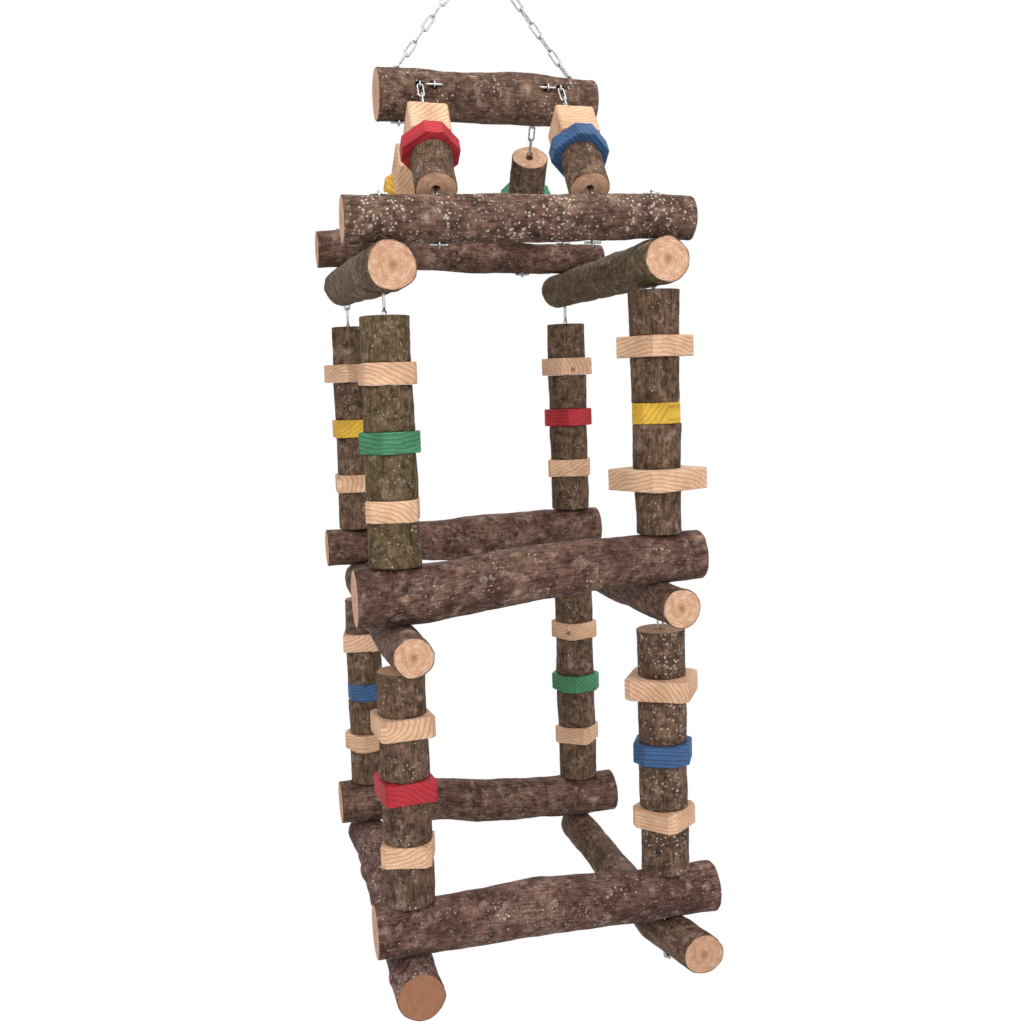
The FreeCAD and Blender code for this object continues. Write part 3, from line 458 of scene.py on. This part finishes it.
class Stick:
    """A length of branch: its axis and thickness, and how uneven its bark is."""

    def __init__(self, seed, axes, stations, swell=1.3, knots=()):
        self.seed = seed
        self.run, self.side, self.up = axes
        self.stations = stations                # along, middle and radius at each section, in metres
        self.low, self.high = stations[0][0], stations[-1][0]
        self.swell = swell
        dice = random.Random(seed)
        self.knots = list(knots)                # along, angle, height, length and width, in millimetres
        for _ in range(int((self.high - self.low) / MM / KNOT_EVERY)):
            self.knots.append((dice.uniform(self.low, self.high) / MM, dice.uniform(0, 2 * math.pi),
                               dice.uniform(0.8, 2.0), dice.uniform(5, 10), dice.uniform(4, 7)))

    def middle_at(self, along):
        """Middle and radius at one place along the branch, eased through its sections."""
        for (a0, m0, r0), (a1, m1, r1) in zip(self.stations, self.stations[1:]):
            if along <= a1 or a1 == self.high:
                share = min(max((along - a0) / (a1 - a0), 0), 1)
                eased = 0.4 * share + 0.6 * share * share * (3 - 2 * share)
                return m0.lerp(m1, share), r0 + (r1 - r0) * eased

    def bark_at(self, along, angle):
        """How far the bark lies from the axis, and how much of a healed scar lies there."""
        _, radius = self.middle_at(along)
        place = along / MM
        around = Vector((math.cos(angle), math.sin(angle)))
        slow = noise.noise(Vector((place / SLOW_WAVE, around.x * 0.9, around.y * 0.9 + self.seed * 7.3)))
        quick = noise.noise(Vector((place / QUICK_WAVE, around.x * 2.4, around.y * 2.4 + self.seed * 3.1)))
        fine = noise.noise(Vector((place / FINE_WAVE, around.x * 7, around.y * 7 + self.seed)))
        height = self.swell * (SLOW_HEIGHT * slow + QUICK_HEIGHT * quick) + FINE_HEIGHT * fine
        scar = 0.0
        for at, turned, tall, length, width in self.knots:
            off_along = (place - at) / length
            off_round = ((angle - turned + math.pi) % (2 * math.pi) - math.pi) * radius / MM / width
            near = off_along * off_along + off_round * off_round
            if near < KNOT_REACH:
                height += tall * math.exp(-near) - 0.7 * min(tall, 2) * math.exp(-near * 6)
                scar = max(scar, 0.8 * math.exp(-near * 3))
        return radius * OVER_FLATS + height * MM, scar

    def ring_at(self, along, share=1.0, inset=0.0):
        """A ring of points across the branch, at a share of the way out to the bark."""
        middle, _ = self.middle_at(along)
        points = []
        for j in range(AROUND):
            angle = 2 * math.pi * j / AROUND
            reach = (self.bark_at(along, angle)[0] - inset) * share
            points.append(middle + reach * (math.cos(angle) * self.side + math.sin(angle) * self.up))
        return points

    def circle_at(self, along, radius):
        middle, _ = self.middle_at(along)
        return [middle + radius * (math.cos(2 * math.pi * j / AROUND) * self.side
                                   + math.sin(2 * math.pi * j / AROUND) * self.up) for j in range(AROUND)]

    def place_of(self, point):
        """Millimetres along and across, from the pith and the bark, and the scar there."""
        along = point.dot(self.run)
        middle, _ = self.middle_at(along)
        across, upward = (point - middle).dot(self.side), (point - middle).dot(self.up)
        reach, scar = self.bark_at(along, math.atan2(upward, across))
        return along / MM, across / MM, upward / MM, (reach - math.hypot(across, upward)) / MM, scar


def rings_mesh(name, groups, closed):
    """One mesh through groups of rings; each ring comes with the slot of the faces that lead up to it."""
    made = bmesh.new()
    for rings in groups:
        rows = [[made.verts.new(point) for point in ring] for _, ring in rings]
        pairs = list(zip(rows, rows[1:], [slot for slot, _ in rings[1:]]))
        if closed:
            pairs.append((rows[-1], rows[0], 1))
        else:
            made.faces.new(rows[0]).material_index = rings[0][0]
            made.faces.new(rows[-1]).material_index = rings[-1][0]
        for low, high, slot in pairs:
            for j in range(len(low)):
                k = (j + 1) % len(low)
                made.faces.new((low[j], low[k], high[k], high[j])).material_index = slot
    bmesh.ops.recalc_face_normals(made, faces=made.faces)
    data = bpy.data.meshes.new(name)
    made.to_mesh(data)
    made.free()
    piece = bpy.data.objects.new(name, data)
    scene.collection.objects.link(piece)
    return piece


def drill(piece, holes, radius):
    """Drills round holes right through, each given by a point on its axis, a direction and a length."""
    cutter = bmesh.new()
    for place, direction, length in holes:
        turn = direction.to_track_quat("Z", "Y").to_matrix().to_4x4()
        bmesh.ops.create_cone(cutter, cap_ends=True, segments=24, radius1=radius, radius2=radius,
                              depth=length, matrix=Matrix.Translation(place) @ turn)
    data = bpy.data.meshes.new("drill")
    cutter.to_mesh(data)
    cutter.free()
    data.materials.append(end_grain)
    bit = bpy.data.objects.new("drill", data)
    scene.collection.objects.link(bit)
    cut_away = piece.modifiers.new("drill", "BOOLEAN")
    cut_away.object = bit
    cut_away.solver = "EXACT"
    cut_away.material_mode = "TRANSFER"
    bpy.context.view_layer.update()
    bored = bpy.data.meshes.new_from_object(piece.evaluated_get(bpy.context.evaluated_depsgraph_get()))
    piece.modifiers.clear()
    piece.data = bored
    bpy.data.objects.remove(bit)


def finish_wood(piece, stick_of, weather):
    """Writes what the bark and the sawn ends read, from each point's place in its stick."""
    data = piece.data
    grain, cut, scars = [], [], []
    for vertex in data.vertices:
        stick = stick_of(vertex.co)
        along, across, upward, from_bark, scar = stick.place_of(vertex.co)
        grain += [along + stick.seed * 137, across + stick.seed * 61, upward]
        cut += [across, upward, from_bark]
        scars.append(scar)
    data.attributes.new("grain", "FLOAT_VECTOR", "POINT").data.foreach_set("vector", grain)
    data.attributes.new("end", "FLOAT_VECTOR", "POINT").data.foreach_set("vector", cut)
    data.attributes.new("scar", "FLOAT", "POINT").data.foreach_set("value", scars)
    data.attributes.new("age", "FLOAT_VECTOR", "POINT").data.foreach_set("vector", list(weather) * len(scars))
    for polygon in data.polygons:
        polygon.use_smooth = polygon.material_index == 0


def side_rows(stick):
    """Places along a stick's bark, evenly spaced between its ends."""
    count = max(4, round((stick.high - stick.low) / MM / STEP))
    return [stick.low + (stick.high - stick.low) * i / count for i in range(1, count)]


X, Y, Z = Vector((1, 0, 0)), Vector((0, 1, 0)), Vector((0, 0, 1))
BORE_RADIUS = 5.2 * MM
DRILL_LENGTH = 0.2          # longer than any branch is thick
BETWEEN_BORES = 4.5 * MM    # corners further apart than this belong to two bores
LEAST_BORE = 8 * MM         # a bore's corners spread further than this along the branch
UPRIGHT_BORE = 20 * MM      # and an upright bore's further than this in height
LEAST_BRANCH = 30 * MM      # a section is thicker than this
EDGE = 0.9 * MM             # rounding of a sawn edge

# olive tint, lichen and darkened ends of each branch, from 0 to 1
WEATHER = {
    "top_front_rail": (0.25, 0.4, 0), "mid_front_rail": (0.15, 0.2, 0), "bottom_front_rail": (0.1, 0.2, 0),
    "bottom_left_crossbar": (0.0, 0.34, 0.8), "bottom_right_crossbar": (0.3, 0.1, 0.25),
    "top_left_crossbar": (0.6, 0.1, 0.1), "top_right_crossbar": (0.8, 0.1, 0), "header_branch": (0.3, 0.24, 0),
}


PLAIN_BRANCH = (0.2, 0.08, 0)

# stubs of cut twigs: place along the branch, angle round it, height, length and width in millimetres
STUBS = {"bottom_left_crossbar": [(-168, 0.2, 4.5, 9, 8), (95, 0.0, 5, 10, 9)]}


def bores_of(corners, run):
    """The bores of a branch, read from the corners between its sections: middle and direction of each."""
    corners = corners[np.argsort(corners[:, run])]
    breaks = np.where(np.diff(corners[:, run]) > BETWEEN_BORES)[0] + 1
    found = []
    for group in np.split(corners, breaks):
        low, high = group.min(0), group.max(0)
        if high[run] - low[run] > LEAST_BORE:
            upright = high[2] - low[2] > UPRIGHT_BORE
            found.append((Vector((low + high) / 2), Z if upright else Y, DRILL_LENGTH))
    return found


for seed, node in enumerate(sorted(frame["nodes"])):
    if not node.endswith(("_rail", "_crossbar", "header_branch")):
        continue
    corners = islands(node)[0]
    run = 1 if node.endswith("crossbar") else 0
    sections = {}
    for corner in corners:
        sections.setdefault(round(float(corner[run]), 4), []).append(corner)
    stations, between = [], []
    for at, ring in sorted(sections.items()):
        ring = np.array(ring)
        if len(ring) == BRANCH_FLATS and np.ptp(ring[:, 2]) > LEAST_BRANCH:
            low, high = ring.min(0), ring.max(0)
            stations.append((at, Vector((low + high) / 2), float(high[2] - low[2]) / 2))
        else:
            between.append(ring)
    stick = Stick(seed, (Y, -X, Z) if run else (X, Y, Z), stations, knots=STUBS.get(node, ()))
    rings = [(1, stick.ring_at(stick.low, share, EDGE)) for share in CAP_SHARES]
    rings += [(1, stick.ring_at(stick.low, 1, EDGE)), (0, stick.ring_at(stick.low + EDGE))]
    rings += [(0, stick.ring_at(along)) for along in side_rows(stick)]
    rings += [(0, stick.ring_at(stick.high - EDGE)), (0, stick.ring_at(stick.high, 1, EDGE))]
    rings += [(1, stick.ring_at(stick.high, share, EDGE)) for share in reversed(CAP_SHARES)]
    piece = rings_mesh(node + "_bark", [rings], False)
    piece.data.materials.append(bark)
    piece.data.materials.append(end_grain)
    drill(piece, bores_of(np.concatenate(between), run), BORE_RADIUS)
    finish_wood(piece, lambda point, stick=stick: stick, WEATHER.get(node, PLAIN_BRANCH))
    hand_over(piece, node)

# ---------------------------------------------------------------- sawn logs
# The posts and the leaning stacks are short lengths of the same branches, sawn square, each with the
# chain's bore up its middle. They alternate with the wooden blocks and carry their weight.

joints = {joint["child"]: joint for joint in frame["record"]["behaviour"]["joints"]}
LOG_FLATS = 14              # flats of a log's solid
SAME_LEVEL = 0.2 * MM       # corners this close in height lie on one sawn end
PLAIN_LOG = (0.5, 0.12, 0)
LOG_WEATHER = {"upper_front_right_logs": (0.5, 0.14, 0), "upper_front_left_logs": (0.8, 0.2, 0),
               "lower_front_right_logs": (0.4, 0.34, 0), "lower_front_left_logs": (0.4, 0.18, 0)}


def axes_about(along):
    """Three axes, with the first along a direction."""
    along = Vector(along).normalized()
    side = Y.cross(along).normalized()
    return along, side, along.cross(side)


def leg_axis(node, middle):
    """The direction of a leaning stack's chain, taken from the joint of the block on it."""
    depth = "front" if middle[1] < 0 else "back"
    side = node.split("_")[1]
    return joints[f"leg_{depth}_{side}_pine_block"]["axis"]


for seed, node in enumerate(sorted(frame["nodes"])):
    if not node.endswith("_logs"):
        continue
    groups, sticks = [], []
    for count, corners in enumerate(sorted(islands(node), key=lambda c: tuple(c.mean(0).round(3)))):
        leaning = node.startswith("leg_")
        axes = axes_about(leg_axis(node, corners.mean(0)) if leaning else Z)
        heights = corners @ np.array(axes[0])
        stations = []
        for at in (float(heights.min()), float(heights.max())):
            ring = corners[abs(heights - at) < SAME_LEVEL]
            centre = Vector(ring.mean(0))
            reach = max((Vector(corner) - centre).length for corner in ring) * math.cos(math.pi / LOG_FLATS)
            stations.append((at, centre, reach))
        stick = Stick(100 + seed * 9 + count, axes, stations, 1.0)
        sticks.append(stick)
        rings = [(1, stick.circle_at(stick.low, BORE_RADIUS))]
        rings += [(1, stick.ring_at(stick.low, share, EDGE)) for share in CAP_SHARES[1:]]
        rings += [(1, stick.ring_at(stick.low, 1, EDGE)), (0, stick.ring_at(stick.low + EDGE))]
        rings += [(0, stick.ring_at(along)) for along in side_rows(stick)]
        rings += [(0, stick.ring_at(stick.high - EDGE)), (0, stick.ring_at(stick.high, 1, EDGE))]
        rings += [(1, stick.ring_at(stick.high, share, EDGE)) for share in reversed(CAP_SHARES[1:])]
        rings.append((1, stick.circle_at(stick.high, BORE_RADIUS)))
        groups.append(rings)
    piece = rings_mesh(node.replace("_logs", "_sawn_logs"), groups, True)
    piece.data.materials.append(bark)
    piece.data.materials.append(end_grain)

    def nearest(point, sticks=sticks):
        return min(sticks, key=lambda stick: (point - (stick.stations[0][1] + stick.stations[1][1]) / 2).length)

    finish_wood(piece, nearest, LOG_WEATHER.get(node, PLAIN_LOG))
    hand_over(piece, node)

# ---------------------------------------------------------------- pine blocks
# Square blocks sawn from pine board, left raw, with their corners clipped, their edges eased and a bore
# for the chain. The growth rings show as orange stripes on the faces and as arcs on the ends.


def board_shader(name, light, stripe, knot, gain, roughness):
    """Wood of a board: growth rings about a pith outside the block and fine fibres along it."""
    made, tree, surface = new_material(name)
    place = add(tree, "ShaderNodeAttribute", attribute_name="board").outputs["Vector"]
    lengthwise = add(tree, "ShaderNodeVectorMath", {0: place, 1: (0.06, 1, 1)}, operation="MULTIPLY").outputs[0]
    bend = add(tree, "ShaderNodeTexNoise", {"Vector": lengthwise, "Scale": 1 / 18, "Detail": 2})
    radial = add(tree, "ShaderNodeVectorMath", {0: place, 1: (0, 1, 1)}, operation="MULTIPLY").outputs[0]
    reach = add(tree, "ShaderNodeVectorMath", {0: radial}, operation="LENGTH").outputs["Value"]
    bent = add(tree, "ShaderNodeMath", {0: bend.outputs["Fac"], 1: 9.0, 2: reach}, operation="MULTIPLY_ADD")
    turns = add(tree, "ShaderNodeMath", {0: bent.outputs[0], 1: 2 * math.pi / 4.5}, operation="MULTIPLY")
    wave = add(tree, "ShaderNodeMath", {0: turns.outputs[0]}, operation="SINE")
    late = add(tree, "ShaderNodeMapRange", {"Value": wave.outputs[0], "From Min": -0.1, "From Max": 1.0,
                                            "To Max": gain})
    fibres = add(tree, "ShaderNodeTexNoise", {"Vector": lengthwise, "Scale": 1 / 0.9, "Detail": 4})
    clouds = add(tree, "ShaderNodeTexNoise", {"Vector": place, "Scale": 1 / 30, "Detail": 3})
    base = add(tree, "ShaderNodeMix", {"Factor": late.outputs[0], "A": paint(light), "B": paint(stripe)},
               data_type="RGBA")
    shade = add(tree, "ShaderNodeValToRGB", {"Fac": fibres.outputs["Fac"]},
                [(0.3, "#c9c2bb"), (0.6, "#ffffff")])
    fine = add(tree, "ShaderNodeMix", {"Factor": 0.7, "A": base.outputs["Result"], "B": shade.outputs["Color"]},
               data_type="RGBA", blend_type="MULTIPLY")
    soft = add(tree, "ShaderNodeValToRGB", {"Fac": clouds.outputs["Fac"]},
               [(0.35, "#d8d2cc"), (0.65, "#ffffff")])
    cloudy = add(tree, "ShaderNodeMix", {"Factor": 0.8, "A": fine.outputs["Result"],
                                         "B": soft.outputs["Color"]}, data_type="RGBA", blend_type="MULTIPLY")
    away = add(tree, "ShaderNodeAttribute", attribute_name="knot").outputs["Vector"]
    distance = add(tree, "ShaderNodeVectorMath", {0: away}, operation="LENGTH").outputs["Value"]
    spot = add(tree, "ShaderNodeMapRange", {"Value": distance, "From Min": 2.0, "From Max": 4.5,
                                            "To Min": 0.85, "To Max": 0.0}).outputs[0]
    knotted = add(tree, "ShaderNodeMix", {"Factor": spot, "A": cloudy.outputs["Result"], "B": paint(knot)},
                  data_type="RGBA")
    relief = add(tree, "ShaderNodeBump", {"Height": fibres.outputs["Fac"], "Distance": 0.0004, "Strength": 0.5})
    wire(tree, surface, Base_Color=knotted.outputs["Result"], Roughness=roughness, Normal=relief.outputs[0],
         Specular_IOR_Level=0.3)
    return made


KNOT_SHARE = 0.3            # of the blocks show a knot on one side
EASE = 1.1 * MM             # rounding of a block's edges
HALF_EASED = 0.3            # share of it, each way, at the middle of the rounding
BORE_CLEAR = 12 * MM        # corners nearer the axis than this belong to the bore
LEAST_EDGE = 0.3 * MM
BLOCK_STEPS = 48            # steps round a block, besides those beside each corner
CORNER_STEP = 0.03          # radians
KNOT_AT = {"leg_front_left_pine_block": Vector((13, -23, 2)) * MM}      # from the block's middle


def block_piece(node, material, turn_grain):
    """The blocks of one node, each as a bevelled outline round its bore."""
    groups, frames = [], []
    for count, corners in enumerate(sorted(islands(node), key=lambda c: c[:, 2].mean())):
        along, side, up = axes_about(joints[node]["axis"])
        heights = corners @ np.array(along)
        middle = Vector(corners.mean(0))
        low, high = (float(height) - middle.dot(along) for height in (heights.min(), heights.max()))
        outline = {}
        for corner in corners:
            off = Vector(corner) - middle
            x, y = off.dot(side), off.dot(up)
            if math.hypot(x, y) > BORE_CLEAR:
                outline[round(math.atan2(y, x), 2)] = (x, y)
        outline = [outline[key] for key in sorted(outline)]
        edges = []
        for (x0, y0), (x1, y1) in zip(outline, outline[1:] + outline[:1]):
            length = math.hypot(x1 - x0, y1 - y0)
            if length > LEAST_EDGE:
                normal = ((y1 - y0) / length, (x0 - x1) / length)
                edges.append((math.atan2(normal[1], normal[0]), x0 * normal[0] + y0 * normal[1]))
        ends = [math.atan2(y, x) for x, y in outline]
        angles = sorted([2 * math.pi * i / BLOCK_STEPS - math.pi for i in range(BLOCK_STEPS)]
                        + [end + shift for end in ends for shift in (-CORNER_STEP, 0.0, CORNER_STEP)])

        def ring(height, inset, edges=edges, angles=angles, middle=middle, axes=(along, side, up)):
            points = []
            for angle in angles:
                reach = min((distance - inset) / max(math.cos(angle - facing), 1e-6)
                            for facing, distance in edges if math.cos(angle - facing) > 0.05)
                points.append(middle + axes[0] * height + (reach - 0.3 * inset) * (
                    math.cos(angle) * axes[1] + math.sin(angle) * axes[2]))
            return points

        def circle(height, angles=angles, middle=middle, axes=(along, side, up)):
            return [middle + axes[0] * height + BORE_RADIUS * (math.cos(a) * axes[1] + math.sin(a) * axes[2])
                    for a in angles]

        groups.append([
            (0, circle(low)), (0, ring(low, 2 * EASE)), (0, ring(low, EASE)),
            (0, ring(low + HALF_EASED * EASE, HALF_EASED * EASE)), (0, ring(low + EASE, 0)),
            (0, ring(high - EASE, 0)), (0, ring(high - HALF_EASED * EASE, HALF_EASED * EASE)),
            (0, ring(high, EASE)), (0, ring(high, 2 * EASE)), (0, circle(high)),
        ])
        dice = random.Random(node + str(count))
        facing = edges[0][0] + (math.pi / 2 if turn_grain else 0)
        pith = Vector((dice.uniform(-200, 200), dice.uniform(25, 70), dice.uniform(-90, 90)))
        face_at, face_reach = edges[dice.randrange(len(edges))]
        outward = math.cos(face_at) * side + math.sin(face_at) * up
        aside, higher = dice.uniform(-9, 9) * MM, dice.uniform(-5, 5) * MM
        knot = outward * face_reach + outward.cross(along) * aside + along * higher
        if dice.random() > KNOT_SHARE:
            knot = outward                              # a metre off, so none shows
        frames.append((middle, (side * math.cos(facing) + up * math.sin(facing)),
                       (up * math.cos(facing) - side * math.sin(facing)), along, pith, KNOT_AT.get(node, knot)))
    piece = rings_mesh(node + "_wood", groups, True)
    piece.data.materials.append(material)
    for polygon in piece.data.polygons:
        polygon.material_index = 0
        polygon.use_smooth = False
    board, knots = [], []
    for vertex in piece.data.vertices:
        middle, run, across, upward, pith, knot = min(frames, key=lambda item: (vertex.co - item[0]).length)
        off = vertex.co - middle
        board += [off.dot(run) / MM + pith.x, off.dot(across) / MM + pith.y, off.dot(upward) / MM + pith.z]
        knots += [*((off - knot) / MM)]
    piece.data.attributes.new("board", "FLOAT_VECTOR", "POINT").data.foreach_set("vector", board)
    piece.data.attributes.new("knot", "FLOAT_VECTOR", "POINT").data.foreach_set("vector", knots)
    return hand_over(piece, node)


# Raw pine, sawn and unsanded: pale peach early wood with orange late wood about 4.5 mm apart.
pine = board_shader("raw sawn pine", "#e4bf9f", "#c98d62", "#7a4a2c", 0.75, 0.75)
for count, node in enumerate(sorted(frame["nodes"])):
    if "pine_block" in node:
        block_piece(node, pine, count % 2)

# ---------------------------------------------------------------- dyed blocks
# The coloured blocks are cut from the same pine board and dipped in a water dye before they are
# threaded. Those on the leaning stacks have their corners cut well back.

# Water dyed pine, one dye each: the colour in the early wood, a deeper tone in the late wood, matt.
DYES = {
    "green": ("#4f9168", "#2f6d4c"), "yellow": ("#ddb540", "#c0902a"),
    "red": ("#bf2f38", "#932530"), "blue": ("#3f638f", "#29456f"),
}
for colour, (light, stripe) in DYES.items():
    dyed = board_shader(f"{colour} dyed pine", light, stripe, stripe, 0.8, 0.7)
    for count, node in enumerate(sorted(frame["nodes"])):
        if node.endswith(f"_{colour}_block"):
            block_piece(node, dyed, count % 2)
